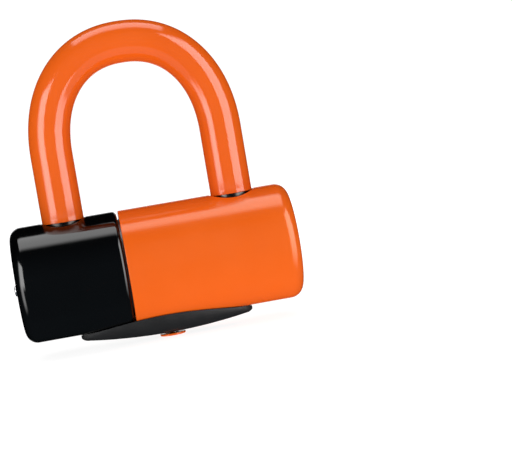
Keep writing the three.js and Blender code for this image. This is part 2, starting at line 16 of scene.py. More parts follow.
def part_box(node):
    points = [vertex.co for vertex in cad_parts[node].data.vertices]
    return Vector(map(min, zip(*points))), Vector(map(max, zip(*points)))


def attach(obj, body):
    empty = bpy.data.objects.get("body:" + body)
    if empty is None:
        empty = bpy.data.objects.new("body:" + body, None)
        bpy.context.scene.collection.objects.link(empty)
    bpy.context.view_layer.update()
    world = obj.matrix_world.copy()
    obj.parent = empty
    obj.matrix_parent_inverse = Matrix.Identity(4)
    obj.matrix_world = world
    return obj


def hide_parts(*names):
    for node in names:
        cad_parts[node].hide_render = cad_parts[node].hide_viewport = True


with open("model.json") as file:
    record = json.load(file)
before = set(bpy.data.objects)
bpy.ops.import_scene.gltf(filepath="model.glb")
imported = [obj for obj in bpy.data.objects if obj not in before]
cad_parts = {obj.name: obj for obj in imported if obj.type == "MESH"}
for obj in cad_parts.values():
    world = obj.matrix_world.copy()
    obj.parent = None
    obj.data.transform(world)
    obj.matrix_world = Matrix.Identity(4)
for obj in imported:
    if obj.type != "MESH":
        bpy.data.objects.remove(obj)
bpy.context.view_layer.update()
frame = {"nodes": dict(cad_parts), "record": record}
SCENE = bpy.context.scene
MM = 0.001


def span(node):
    """Lowest and highest corner of a CAD node, in millimetres."""
    low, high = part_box(node)
    return np.array(low) / MM, np.array(high) / MM


# Dimensions -----------------------------------------------------------------------------------

HOUSING_LOW, HOUSING_HIGH = span("orange_housing")
CAP_LOW, CAP_HIGH = span("end_cap")
CORE_HIGH = span("crossbar_core")[1]
BAR_LOW, BAR_HIGH = span("shackle_bar")
COAT_LOW, COAT_HIGH = span("shackle_coating")
BEZEL_HIGH = span("keyway_bezel")[1]
BARREL_LOW, BARREL_HIGH = span("lock_barrel")
PLATE_LOW, PLATE_HIGH = span("anti_drill_plate")
COVER_LOW, COVER_HIGH = span("dust_cover")

AXIS_Z = (HOUSING_LOW[2] + HOUSING_HIGH[2]) / 2
HALF_HEIGHT = HOUSING_HIGH[2] - AXIS_Z
HALF_DEPTH = HOUSING_HIGH[1]
WALL = 3.0
END_WALL = 3.3
GAP = 0.3  # clearance between fixed pieces
PAST = 1.0  # how far a cutting tool reaches past the surface that it cuts

BAR_RADIUS = BAR_HIGH[1]
COAT_RADIUS = COAT_HIGH[1]
COAT_BORE = BAR_RADIUS + 0.25
CAD_BAR_SIDES = 18  # the CAD bar's flats face along X
LEG_X = BAR_HIGH[0] - BAR_RADIUS * math.cos(math.pi / CAD_BAR_SIDES)
ARCH_START_Z = AXIS_Z + 45.5
ARCH_RISE = COAT_HIGH[2] - COAT_RADIUS - ARCH_START_Z
ARCH_SQUARENESS = 2.2
LEG_HOLE_RADIUS = 8.4
SOCKET_RADIUS = BAR_RADIUS + 0.4

LOCK_X = (BARREL_LOW[0] + BARREL_HIGH[0]) / 2
NOSE_RADIUS = 5.4  # the barrel's narrow lower end
BARREL_PIN_Z = AXIS_Z - 10
BOLT_Z = AXIS_Z + 5
BOLT_RADIUS = 5.0
RIVET_X = 18.5
RIVET_HEAD_RADIUS = 2.6
PIVOT_Y = 7.6
SHANK_RADIUS = 1.5
COVER_PIN_RADIUS = 1.2


# Meshes ---------------------------------------------------------------------------------------

def skin(rings, loop=False, skip=None):
    """Vertices and faces of a surface through rings of points. A ring of one point is a tip.
    skip(ring, i) says which faces to leave out."""
    starts = np.cumsum([0] + [len(ring) for ring in rings])
    pairs = [(k, k + 1) for k in range(len(rings) - 1)]
    if loop:
        pairs.append((len(rings) - 1, 0))
    faces = []
    for a, b in pairs:
        count_a, count_b = len(rings[a]), len(rings[b])
        count = max(count_a, count_b)
        for i in range(count):
            if skip and skip(a, i):
                continue
            j = (i + 1) % count
            quad = [
                starts[a] + i % count_a,
                starts[a] + j % count_a,
                starts[b] + j % count_b,
                starts[b] + i % count_b,
            ]
            faces.append([int(v) for v in dict.fromkeys(quad)])
    return np.concatenate(rings), faces


def arc(radius_at, height_at, radius, start, end, steps=6):
    """Points of a round edge in a turned profile, from one angle to another, in degrees."""
    angles = np.radians(np.linspace(start, end, steps + 1))
    return [
        (radius_at + radius * math.cos(a), height_at + radius * math.sin(a)) for a in angles
    ]


def turned(profile, axis="Z", at=(0, 0, 0), sides=64, flatten=1.0, loop=False):
    """A profile of (radius, height) points turned about an axis; flatten shrinks it along Y."""
    turn = np.linspace(0, 2 * np.pi, sides, endpoint=False)
    rings = []
    for radius, height in profile:
        angles = turn if radius > 0 else turn[:1]
        c, s = radius * np.cos(angles), radius * np.sin(angles)
        h = np.full(len(angles), float(height))
        columns = {"X": (h, s * flatten, c), "Y": (c, h, s), "Z": (c, s * flatten, h)}[axis]
        rings.append(np.stack(columns, 1) + np.array(at, float))
    return skin(rings, loop)


def rod(radius, span_, axis="Z", at=(0, 0), sides=64, flare=0.0):
    """A plain round rod, for cutting holes; at is its place on the other two axes. A flare
    widens its last part at 45 degrees, which leaves a chamfer at a hole's mouth."""
    start, end = span_
    profile = [(0, start), (radius, start), (radius, end)]
    if flare:
        step = math.copysign(flare, end - start)
        profile = [(0, start), (radius, start), (radius, end - step), (radius + flare, end)]
    profile.append((0, end))
    place = {"X": (0, *at), "Y": (at[0], 0, at[1]), "Z": (*at, 0)}[axis]
    return turned(profile, axis, place, sides)


def block(x, y, z):
    """A plain block, for cutting slots."""
    corners = [(i, j, k) for i in x for j in y for k in z]
    faces = [(0, 1, 3, 2), (4, 6, 7, 5), (0, 4, 5, 1), (2, 3, 7, 6), (0, 2, 6, 4), (1, 5, 7, 3)]
    return np.array(corners, float), faces


def to_mesh(name, vertices, faces):
    """A mesh in metres, with doubled points joined and its faces turned outward."""
    mesh = bpy.data.meshes.new(name)
    mesh.from_pydata((np.asarray(vertices) * MM).tolist(), [], [list(f) for f in faces])
    work = bmesh.new()
    work.from_mesh(mesh)
    bmesh.ops.remove_doubles(work, verts=work.verts, dist=2e-7)
    bmesh.ops.dissolve_degenerate(work, edges=work.edges, dist=1e-7)
    bmesh.ops.recalc_face_normals(work, faces=work.faces)
    work.to_mesh(mesh)
    work.free()
    return mesh


def apply_modifiers(obj):
    """Turns what the modifiers make into the object's own mesh."""
    graph = bpy.context.evaluated_depsgraph_get()
    done = bpy.data.meshes.new_from_object(obj.evaluated_get(graph))
    old = obj.data
    obj.modifiers.clear()
    obj.data = done
    bpy.data.meshes.remove(old)


def cut(obj, cutters):
    """Cuts each (vertices, faces) tool out of the object."""
    tools = []
    for i, (vertices, faces) in enumerate(cutters):
        tool = bpy.data.objects.new(f"tool_{i}", to_mesh(f"tool_{i}", vertices, faces))
        SCENE.collection.objects.link(tool)
        modifier = obj.modifiers.new(f"cut_{i}", "BOOLEAN")
        modifier.operation = "DIFFERENCE"
        modifier.solver = "MANIFOLD"
        modifier.object = tool
        tools.append(tool)
    apply_modifiers(obj)
    for tool in tools:
        mesh = tool.data
        bpy.data.objects.remove(tool)
        bpy.data.meshes.remove(mesh)


def piece(name, shape, body, slot, node, cutters=(), bevel=0.0, sharp=38):
    """Makes a finished piece that rides on a body and stands for a CAD node. bevel is the width
    of its rounded edges in millimetres, and sharp the least angle of an edge in degrees."""
    obj = bpy.data.objects.new(name, to_mesh(name, *shape))
    SCENE.collection.objects.link(obj)
    if cutters:
        cut(obj, cutters)
    if bevel:
        modifier = obj.modifiers.new("edges", "BEVEL")
        modifier.width = bevel * MM
        modifier.segments = 3
        modifier.limit_method = "ANGLE"
        modifier.angle_limit = math.radians(sharp)
        apply_modifiers(obj)
    obj.data.name = name
    obj.data.materials.clear()
    obj.data.materials.append(MATERIALS[slot])
    obj.data.shade_smooth()
    obj.data.set_sharp_from_angle(angle=math.radians(sharp))
    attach(obj, body)
    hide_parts(node)
    return obj


# Materials ------------------------------------------------------------------------------------

def surface_pattern(tree, size, stretch=(1, 1, 1), detail=3.0, place=(0, 0, 0)):
    """Noise over the object's own coordinates, with features about size millimetres across."""
    links = tree.links
    coordinates = tree.nodes.new("ShaderNodeTexCoord")
    mapping = tree.nodes.new("ShaderNodeMapping")
    mapping.inputs["Scale"].default_value = [1 / (size * MM * s) for s in stretch]
    mapping.inputs["Location"].default_value = place
    noise = tree.nodes.new("ShaderNodeTexNoise")
    noise.inputs["Scale"].default_value = 1.0
    noise.inputs["Detail"].default_value = detail
    links.new(coordinates.outputs["Object"], mapping.inputs["Vector"])
    links.new(mapping.outputs["Vector"], noise.inputs["Vector"])
    return noise.outputs["Fac"]


def remap(tree, value, low, high, start=0.3, end=0.7):
    """Turns start to end into low to high, and stays level beyond them."""
    node = tree.nodes.new("ShaderNodeMapRange")
    node.inputs["From Min"].default_value = start
    node.inputs["From Max"].default_value = end
    node.inputs["To Min"].default_value = low
    node.inputs["To Max"].default_value = high
    tree.links.new(value, node.inputs["Value"])
    return node.outputs["Result"]


def mix_colors(tree, factor, first, second):
    """The first colour where factor is 0 and the second where it is 1."""
    node = tree.nodes.new("ShaderNodeMix")
    node.data_type = "RGBA"
    # The colour sockets: 6 and 7 in, 2 out
    node.inputs[6].default_value = (*first, 1)
    node.inputs[7].default_value = (*second, 1)
    tree.links.new(factor, node.inputs[0])
    return node.outputs[2]


def mix_shaders(tree, factor, first, second):
    """The first shader where factor is 0 and the second where it is 1."""
    node = tree.nodes.new("ShaderNodeMixShader")
    tree.links.new(factor, node.inputs[0])
    tree.links.new(first, node.inputs[1])
    tree.links.new(second, node.inputs[2])
    return node.outputs[0]


def multiply(tree, first, second):
    node = tree.nodes.new("ShaderNodeMath")
    node.operation = "MULTIPLY"
    tree.links.new(first, node.inputs[0])
    tree.links.new(second, node.inputs[1])
    return node.outputs[0]


def add_bump(tree, height, depth, below=None):
    """A bump whose full height is depth millimetres, on top of another one."""
    node = tree.nodes.new("ShaderNodeBump")
    node.inputs["Strength"].default_value = 1.0
    node.inputs["Distance"].default_value = depth * MM
    tree.links.new(height, node.inputs["Height"])
    if below is not None:
        tree.links.new(below, node.inputs["Normal"])
    return node.outputs["Normal"]


def make_material(
    name, colors, roughness, patch, grains, metallic=0.0, stretch=(1, 1, 1), tint=(1, 1, 1)
):
    """A material whose colour and roughness drift between two values over patches, with one or
    more bump grains, each given as (size, depth) in millimetres. stretch lengthens the scuffs
    and grains along an axis, and tint colours the reflections seen straight on."""
    material = bpy.data.materials.new(name)
    material.use_nodes = True
    tree = material.node_tree
    shader = tree.nodes["Principled BSDF"]
    shader.inputs["Metallic"].default_value = metallic
    shader.inputs["Specular Tint"].default_value = (*tint, 1)
    drift = surface_pattern(tree, patch)
    color = mix_colors(tree, remap(tree, drift, 0, 1), *colors)
    tree.links.new(color, shader.inputs["Base Color"])
    scuff = surface_pattern(tree, patch / 3, stretch, detail=5.0, place=(3, 1, 2))
    tree.links.new(remap(tree, scuff, *roughness), shader.inputs["Roughness"])
    normal = None
    for size, depth in grains:
        grain = surface_pattern(tree, size, stretch, detail=2.0)
        normal = add_bump(tree, grain, depth, normal)
    tree.links.new(normal, shader.inputs["Normal"])
    return material


MATERIALS = {
    "orange_coat": make_material(
        "vinyl_orange",
        ((0.83, 0.117, 0.007), (0.865, 0.127, 0.009)),
        (0.10, 0.14), 24, [(5.0, 0.006), (0.9, 0.0015)],
    ),
    "orange_gloss": make_material(
        "moulded_orange",
        ((0.88, 0.127, 0.007), (0.915, 0.137, 0.009)),
        (0.13, 0.18), 30, [(6.0, 0.006), (0.7, 0.0012)], tint=(1.0, 0.98, 0.78),
    ),
    "black_gloss": make_material(
        "moulded_black",
        ((0.0007, 0.0007, 0.0008), (0.0012, 0.0012, 0.0013)),
        (0.07, 0.11), 26, [(6.0, 0.005), (0.7, 0.0008)],
    ),
    "black_satin": make_material(
        "textured_black",
        ((0.0105, 0.0105, 0.011), (0.014, 0.014, 0.0145)),
        (0.42, 0.52), 12, [(0.9, 0.02), (0.32, 0.03)],
    ),
    "dark_steel": make_material(
        "blackened_steel",
        ((0.038, 0.035, 0.033), (0.064, 0.060, 0.057)),
        (0.2, 0.32), 9, [(0.5, 0.004)], metallic=1.0, stretch=(1, 1, 6),
    ),
    "core_steel": make_material(
        "machined_steel",
        ((0.22, 0.22, 0.23), (0.29, 0.29, 0.30)),
        (0.36, 0.5), 10, [(0.35, 0.006)], metallic=1.0, stretch=(8, 1, 1),
    ),
    "bright_steel": make_material(
        "ground_steel",
        ((0.55, 0.55, 0.56), (0.64, 0.64, 0.65)),
        (0.2, 0.32), 6, [(0.25, 0.003)], metallic=1.0, stretch=(6, 1, 1),
    ),
    "brass": make_material(
        "turned_brass",
        ((0.56, 0.39, 0.15), (0.66, 0.47, 0.2)),
        (0.24, 0.36), 6, [(0.25, 0.004)], metallic=1.0, stretch=(1, 1, 5),
    ),
}


# Shackle --------------------------------------------------------------------------------------

LEG_STEPS = 16
ARCH_STEPS = 112
SHACKLE_SIDES = 64
LIP_STEPS = 8


def shackle_line(low_z):
    """Centre points and outward directions along the shackle, left leg to right, as (x, z)."""
    heights = np.linspace(low_z, ARCH_START_Z, LEG_STEPS, endpoint=False)
    angles = np.linspace(0, math.pi, ARCH_STEPS + 1)
    cosine, sine = np.cos(angles), np.abs(np.sin(angles))
    power = 2 / ARCH_SQUARENESS
    arch = np.stack(
        (
            -LEG_X * np.sign(cosine) * np.abs(cosine) ** power,
            ARCH_START_Z + ARCH_RISE * sine**power,
        ),
        1,
    )
    run = LEG_X * sine ** (2 - power)
    climb = ARCH_RISE * np.sign(cosine) * np.abs(cosine) ** (2 - power)
    outward = np.stack((-climb, run), 1) / np.hypot(run, climb)[:, None]
    left = np.stack((np.full(LEG_STEPS, -LEG_X), heights), 1)
    right = np.stack((np.full(LEG_STEPS, LEG_X), heights[::-1]), 1)
    side = np.tile([1.0, 0.0], (LEG_STEPS, 1))
    return np.concatenate((left, arch, right)), np.concatenate((-side, outward, side))


def section_ring(centre, outward, radius):
    """A round section of the shackle, square to its centre line."""
    turn = np.linspace(0, 2 * np.pi, SHACKLE_SIDES, endpoint=False)
    across = radius * np.cos(turn)
    x = centre[0] + across * outward[0]
    z = centre[1] + across * outward[1]
    return np.stack((x, radius * np.sin(turn), z), 1)


def make_shackle():
    # Steel bar, with a chamfer at its two ends and a notch for a bolt inside each leg
    chamfer = 0.9
    low = BAR_LOW[2]
    centres, outwards = shackle_line(low + chamfer)
    rings = [section_ring(c, o, BAR_RADIUS) for c, o in zip(centres, outwards)]
    left = section_ring((-LEG_X, low), (-1, 0), BAR_RADIUS - chamfer)
    right = section_ring((LEG_X, low), (1, 0), BAR_RADIUS - chamfer)
    tips = [np.array([[side * LEG_X, 0, low]]) for side in (-1, 1)]
    shape = skin([tips[0], left, *rings, right, tips[1]])
    notch_radius = BOLT_RADIUS + 0.4
    bottom = 29.3
    mouth = bottom - 8
    notches = [
        rod(notch_radius, sorted((side * bottom, side * mouth)), "X", (0, BOLT_Z))
        for side in (-1, 1)
    ]
    piece(
        "bar_of_shackle", shape, "shackle", "dark_steel", "shackle_bar", notches, bevel=0.25
    )

    # Vinyl coat: a tube over the bar, with round lips at its two lower ends
    lip = (COAT_RADIUS - COAT_BORE) / 2
    middle = COAT_RADIUS - lip
    low = COAT_LOW[2]
    centres, outwards = shackle_line(low + lip)
    line = list(zip(centres, outwards))
    rings = [section_ring(c, o, COAT_RADIUS) for c, o in line]
    swing = np.radians(np.linspace(0, 180, LIP_STEPS + 1)[1:-1])
    lips = [(middle + lip * math.cos(a), low + lip - lip * math.sin(a)) for a in swing]
    rings += [section_ring((LEG_X, z), (1, 0), radius) for radius, z in lips]
    rings += [section_ring(c, o, COAT_BORE) for c, o in reversed(line)]
    rings += [section_ring((-LEG_X, z), (-1, 0), radius) for radius, z in reversed(lips)]
    shape = skin(rings, loop=True)
    piece("coat_of_shackle", shape, "shackle", "orange_coat", "shackle_coating")


# Crossbar -------------------------------------------------------------------------------------

SHELL_SIDES = 144
CORE_SIDES = 128
RING_STEP = 3  # about how far apart a shell's rings are on its plain stretch
FILLET_STEPS = 10
END_RINGS = (0.3, 0.6, 0.85)  # rings on a shell's closed end, as shares of its flat part
INNER_END_RINGS = (1, 0.7, 0.35, 0)
HOLE_CELLS = 28  # cells along each side of the patch round a leg hole
HOLE_CELL = 0.8
HOLE_STEPS = 7  # rows of faces from the patch's border to the hole's edge
RIM = 0.5  # round edge of a leg hole
RIM_ANGLES = (22.5, 45, 67.5, 90)


def shell(closed_x, way, length, fillet, edge):
    """One of the crossbar's two round shells: closed at closed_x, and open at its far end, way
    and length from there, with a hole for a leg. u is the distance from the closed end."""
    turn = np.linspace(0, 2 * np.pi, SHELL_SIDES, endpoint=False)
    hole_u = abs(way * LEG_X - closed_x) if way * closed_x > 0 else abs(closed_x) - LEG_X
    patch = hole_u + HOLE_CELL * np.arange(-HOLE_CELLS // 2, HOLE_CELLS // 2 + 1)
    inner_height, inner_depth = HALF_HEIGHT - WALL, HALF_DEPTH - WALL
    flat = HALF_HEIGHT - fillet

    # Profile of (u, height) points, down the outside and back up the inside
    outer = [(0, 0)]
    outer += [(0, flat * share) for share in END_RINGS]
    outer += [(fillet + h, r) for r, h in arc(flat, 0, fillet, -90, 0, FILLET_STEPS)]
    before = np.linspace(fillet, patch[0], 4)[1:-1]
    straight = length - edge - patch[-1]
    after = np.linspace(patch[-1], length - edge, 2 + int(straight) // RING_STEP)[1:]
    outer += [(u, HALF_HEIGHT) for u in (*before, *patch, *after)]
    outer_patch = len(outer) - len(after) - len(patch)
    outer += [(length - edge + h, r) for r, h in arc(HALF_HEIGHT - edge, 0, edge, 0, 90)[1:]]

    inner = [(length, inner_height)]
    inner += [(u, inner_height) for u in patch[::-1]]
    inner += [(END_WALL, inner_height * share) for share in INNER_END_RINGS]
    inner_patch = len(outer) + 1

    rings = []
    for k, (u, height) in enumerate(outer + inner):
        outside = k < len(outer)
        oval = HALF_DEPTH / HALF_HEIGHT if outside else inner_depth / inner_height
        depth = height * oval
        angles = turn if height > 0 else turn[:1]
        x = np.full(len(angles), float(u))
        rings.append(np.stack((x, depth * np.sin(angles), height * np.cos(angles)), 1))
    half = HOLE_CELLS // 2

    def in_patch(ring, i):
        near_top = i < half or i >= SHELL_SIDES - half
        along = any(first <= ring < first + HOLE_CELLS for first in (outer_patch, inner_patch))
        return near_top and along

    vertices, faces = skin(rings, skip=in_patch)
    starts = np.cumsum([0] + [len(ring) for ring in rings])
    vertices = list(map(np.array, vertices))

    # Border of the patch, once round from its corner at low u and low y
    cells = range(HOLE_CELLS)
    border = [(k, -half) for k in cells]
    border += [(HOLE_CELLS, k - half) for k in cells]
    border += [(HOLE_CELLS - k, half) for k in cells]
    border += [(0, half - k) for k in cells]
    circle = np.radians(-135 + 360 / len(border) * np.arange(len(border)))
    circle = np.stack((np.cos(circle), np.sin(circle)), 1)

    def patch_rings(ring_of, height, depth, rim):
        """Rings of vertex numbers from the patch's border in to the hole's wall."""
        found = [[int(starts[ring_of(k)]) + j % SHELL_SIDES for k, j in border]]
        plan = np.array([vertices[v][:2] for v in found[0]])
        target = np.array([hole_u, 0]) + circle * (LEG_HOLE_RADIUS + rim)
        rows = range(1, HOLE_STEPS + 1)
        plans = [(plan + (target - plan) * row / HOLE_STEPS, 0) for row in rows]
        for a in np.radians(RIM_ANGLES if rim else ()):
            radius = LEG_HOLE_RADIUS + rim * (1 - math.sin(a))
            plans.append((np.array([hole_u, 0]) + circle * radius, rim * (1 - math.cos(a))))
        for points, drop in plans:
            first = len(vertices)
            for u, y in points:
                z = height * math.sqrt(1 - (y / depth) ** 2) - drop
                vertices.append(np.array([u, y, z]))
            found.append(list(range(first, len(vertices))))
        return found

    above = patch_rings(lambda k: outer_patch + k, HALF_HEIGHT, HALF_DEPTH, RIM)
    below = patch_rings(lambda k: inner_patch + HOLE_CELLS - k, inner_height, inner_depth, 0)
    bands = above + below[::-1]
    for near, far in zip(bands, bands[1:]):
        for i in range(len(border)):
            j = (i + 1) % len(border)
            faces.append([near[i], near[j], far[j], far[i]])
    vertices = np.array(vertices)
    vertices[:, 0] = closed_x + way * vertices[:, 0]
    vertices[:, 2] += AXIS_Z
    return vertices, faces


def make_shells(pin_at, pin_radius):
    """The glossy black cap and the orange housing. pin_at is the cap pin's place, as (y, z)."""
    underside = (HOUSING_LOW[2] - PAST, AXIS_Z)
    pin_span = (CAP_LOW[0] + END_WALL + PAST, CAP_LOW[0] - 0.3)
    cap = shell(CAP_LOW[0], 1, CAP_HIGH[0] - CAP_LOW[0], fillet=4.4, edge=1.6)
    cap_cuts = [
        rod(SHANK_RADIUS + GAP, underside, at=(-RIVET_X, 0)),
        rod(pin_radius + GAP, pin_span, "X", pin_at, flare=0.6),
    ]
    piece("cap_shell", cap, "crossbar", "black_gloss", "end_cap", cap_cuts)

    housing_length = HOUSING_HIGH[0] - HOUSING_LOW[0]
    housing = shell(HOUSING_HIGH[0], -1, housing_length, fillet=4.8, edge=0.3)
    housing_cuts = [
        rod(SHANK_RADIUS + GAP, underside, at=(RIVET_X, 0)),
        rod(NOSE_RADIUS + GAP, underside, at=(LOCK_X, 0)),
    ]
    piece("housing_shell", housing, "crossbar", "orange_gloss", "orange_housing", housing_cuts)


def make_cap_pin(low, high, at, radius):
    """The pin that holds the cap, with a low domed head on the end face."""
    head = high[1] - at[0]
    tip, end = low[0], high[0]
    brim = 0.35
    face = CAP_LOW[0] - 0.05
    profile = [(0, tip), (0.7, tip + 0.03), (1.2, tip + 0.13)]
    profile += arc(head - brim, tip + 0.2 + brim, brim, -60, 0, 4)
    profile += [(head, face), (radius, face), (radius, end), (0, end)]
    shape = turned(profile, "X", (0, *at))
    piece("cap_pin", shape, "crossbar", "bright_steel", "end_cap_pin")


def make_core(pin_high, pin_at, pin_radius):
    """The hardened bar inside the shells, with its bores."""
    height, depth = CORE_HIGH[2] - AXIS_Z, CORE_HIGH[1]
    chamfer = 0.8
    end = CORE_HIGH[0]
    profile = [
        (0, -end), (height - chamfer, -end), (height, -end + chamfer),
        (height, end - chamfer), (height - chamfer, end), (0, end),
    ]
    core = turned(profile, "X", (0, 0, AXIS_Z), CORE_SIDES, flatten=depth / height)
    above = AXIS_Z + height + 0.1
    below = AXIS_Z - height - PAST
    socket_floor = BAR_LOW[2] - 0.4
    rivet_top = AXIS_Z - 8.7
    barrel_top = AXIS_Z - 0.4
    cam_radius = 5.13
    cam_span = (AXIS_Z - 0.7, BOLT_Z - 2)
    spring_radius = 1.6
    spring_start = 7.6
    spring_z = AXIS_Z - 2.15
    cuts = []
    for side in (-1, 1):
        leg_at = (side * LEG_X, 0)
        cuts.append(rod(SOCKET_RADIUS, (socket_floor, above), at=leg_at, flare=0.7))
    for side in (-1, 1):
        rivet_at = (side * RIVET_X, 0)
        cuts.append(rod(SHANK_RADIUS + GAP, (rivet_top, below), at=rivet_at))
    across = (-depth - PAST, depth + PAST)
    bolt_channel = (-end - PAST, LEG_X - 1)
    cuts += [
        rod(BOLT_RADIUS + GAP, bolt_channel, "X", (0, BOLT_Z)),
        rod(BARREL_HIGH[1] + GAP, (barrel_top, below), at=(LOCK_X, 0)),
        rod(cam_radius, cam_span, at=(LOCK_X, 0)),
        rod(SHANK_RADIUS + GAP, across, "Y", (BARREL_HIGH[0], BARREL_PIN_Z)),
        rod(spring_radius, (spring_start, depth + PAST), "Y", (LOCK_X, spring_z)),
        rod(pin_radius + GAP, (-end - PAST, pin_high[0] + GAP), "X", pin_at),
    ]
    piece("core_bar", core, "crossbar", "core_steel", "crossbar_core", cuts)


def make_crossbar():
    pin_low, pin_high = span("end_cap_pin")
    pin_at = (pin_low[1] + pin_high[1]) / 2, (pin_low[2] + pin_high[2]) / 2
    pin_radius = 1.2
    make_shells(pin_at, pin_radius)
    make_cap_pin(pin_low, pin_high, pin_at, pin_radius)
    make_core(pin_high, pin_at, pin_radius)


# Bolts and lock barrel ------------------------------------------------------------------------

CRANK_OFFSET = 2.356  # from the lock's axis to a crank slot: half of the bolts' stroke
CRANK_SLOT = 1.6  # half the width of a slot for a crank pin
TAIL_FLAT = 6.6  # how far from the lock's axis a bolt's flat tail starts


def make_bolt(node, side, body):
    """side is 1 for the right bolt, whose tail lies in front of the cam, and -1 for the left."""
    low, high = span(node)
    tip, tail = (high[0], low[0]) if side > 0 else (low[0], high[0])
    chamfer = 0.7
    tail_chamfer = 0.3
    profile = [
        (0, tail), (BOLT_RADIUS - tail_chamfer, tail), (BOLT_RADIUS, tail + side * tail_chamfer),
        (BOLT_RADIUS, tip - side * chamfer), (BOLT_RADIUS - chamfer, tip), (0, tip),
    ]
    reach = BOLT_RADIUS + PAST
    heights = (BOLT_Z - reach, BOLT_Z + reach)
    crank_x = LOCK_X - side * CRANK_OFFSET
    tail_flat = block(
        sorted((tail - side * PAST, LOCK_X + side * TAIL_FLAT)),
        sorted((side * reach, -side * 0.2)),
        heights,
    )
    crank_slot = block(
        (crank_x - CRANK_SLOT, crank_x + CRANK_SLOT),
        sorted((-side * 0.7, -side * reach)),
        (heights[0], BOLT_Z),
    )
    shape = turned(profile, "X", (0, 0, BOLT_Z))
    cuts = [tail_flat, crank_slot]
    piece(node + "_body", shape, body, "bright_steel", node, cuts, bevel=0.15)


LOCK_SIDES = 96
KEY_SLOT = (1.3, 3.2)  # half its width and half its length


def make_lock_face():
    # Barrel: a stepped brass body, bored from the top, whose nose holds the drill plate
    low, high = BARREL_LOW[2], BARREL_HIGH[2]
    shoulder = AXIS_Z - 15.8
    pocket = AXIS_Z - 14.8
    seat = low + 1
    outside = 8.4
    bore = 6.4
    plate_bore = 4.4
    mouth = 3.6
    edge = 0.35
    profile = [
        (mouth + edge, low), (NOSE_RADIUS - edge, low), (NOSE_RADIUS, low + edge),
        (NOSE_RADIUS, shoulder), (outside - 0.3, shoulder), (outside, shoulder + 0.3),
        (outside, high), (bore, high), (bore, pocket), (plate_bore, pocket),
        (plate_bore, seat), (mouth, seat), (mouth, low + edge),
    ]
    half_width = 1.1
    reach = outside + PAST
    sidebar_slot = block(
        (LOCK_X - half_width, LOCK_X + half_width), (5.4, 7.2), (pocket + 1.2, high + PAST)
    )
    pin_hole = rod(SHANK_RADIUS + GAP, (-reach, reach), "Y", (BARREL_HIGH[0], BARREL_PIN_Z))
    barrel = turned(profile, at=(LOCK_X, 0, 0), sides=LOCK_SIDES, loop=True)
    piece("barrel", barrel, "crossbar", "brass", "lock_barrel", [sidebar_slot, pin_hole])

    # Drill plate with the key's slot
    low, high = PLATE_LOW[2], PLATE_HIGH[2]
    radius = PLATE_HIGH[1]
    edge = 0.3
    profile = [
        (0, low), (radius - edge, low), (radius, low + edge), (radius, high - edge),
        (radius - edge, high), (0, high),
    ]
    half_width, half_length = KEY_SLOT
    slot = block(
        (LOCK_X - half_width, LOCK_X + half_width),
        (-half_length, half_length),
        (low - PAST, high + PAST),
    )
    plate = turned(profile, at=(LOCK_X, 0, 0), sides=LOCK_SIDES)
    piece("drill_plate", plate, "crossbar", "dark_steel", "anti_drill_plate", [slot], bevel=0.12)


# Keyway bezel and dust cover ------------------------------------------------------------------

BEZEL_LENGTH = BEZEL_HIGH[0]
BEZEL_WIDTH = BEZEL_HIGH[1]
BEZEL_POINT = 0.55
BEZEL_ROOT = -15.0  # heights here are from the crossbar's axis
BEZEL_END = -24.4
BEZEL_CROWN = 2.1
BEZEL_CORNER = 3.0
BEZEL_BOTTOM = BEZEL_END - BEZEL_CROWN
BEZEL_STATIONS = 97
LOWER_POINTS = 45
UPPER_POINTS = 21
BELOW = 0.6  # how far below the bezel its cutting tools start
WASHER_RADIUS = 2.6


def bezel_floor(x):
    """Height of the bezel's lowest line at x: a low crown between two round corners."""
    flat = BEZEL_LENGTH - BEZEL_CORNER
    if abs(x) <= flat:
        return BEZEL_END - BEZEL_CROWN * (1 - (x / flat) ** 2)
    # A quadratic curve by (length + 1, end + corner), (length, end) and (flat, end)
    t = (math.sqrt(1 + 2 * (BEZEL_LENGTH + 1 - abs(x))) - 1) / 2
    return BEZEL_END + BEZEL_CORNER * (1 - t) ** 2


def crossbar_underside(y):
    """Height of the crossbar's round underside at y, with the gap below it."""
    height, depth = HALF_HEIGHT + GAP, HALF_DEPTH + GAP
    return -height * math.sqrt(1 - (y / depth) ** 2)


def bezel_section(x):
    """One section of the bezel: a squarish half oval below, the crossbar's curve above."""
    share = abs(x) / BEZEL_LENGTH
    width = BEZEL_WIDTH * max(0.0, 1 - share**2) ** BEZEL_POINT
    drop = BEZEL_ROOT - bezel_floor(x)
    squareness = 2.7 + 1.5 * share**4
    power = 2 / squareness

    def lower(t):
        y = width * math.copysign(abs(math.cos(t)) ** power, math.cos(t))
        return y, BEZEL_ROOT - drop * math.sin(t) ** power

    # Halve the way to where the half oval comes out from under the crossbar
    low, high = 1e-6, math.pi / 2
    for _ in range(40):
        t = (low + high) / 2
        y, z = lower(t)
        low, high = (t, high) if z > crossbar_underside(y) else (low, t)
    points = [lower(a) for a in np.linspace(high, math.pi - high, LOWER_POINTS)]
    rim = points[0][0]
    between = np.linspace(-rim, rim, UPPER_POINTS)[1:-1]
    points += [(y, crossbar_underside(y)) for y in between]
    return np.array([(x, y, z + AXIS_Z) for y, z in points])


def turned_rivet(low, high, head_radius, head_height, shank_radius):
    """A low domed head below a plain shank, as a turned profile."""
    edge = head_height * 0.45
    profile = [(0, low), (head_radius * 0.45, low + 0.04), (head_radius * 0.75, low + 0.14)]
    profile += arc(head_radius - edge, low + 0.2 + edge, edge, -70, 0, 4)
    top = low + head_height
    return profile + [(head_radius, top), (shank_radius, top), (shank_radius, high), (0, high)]


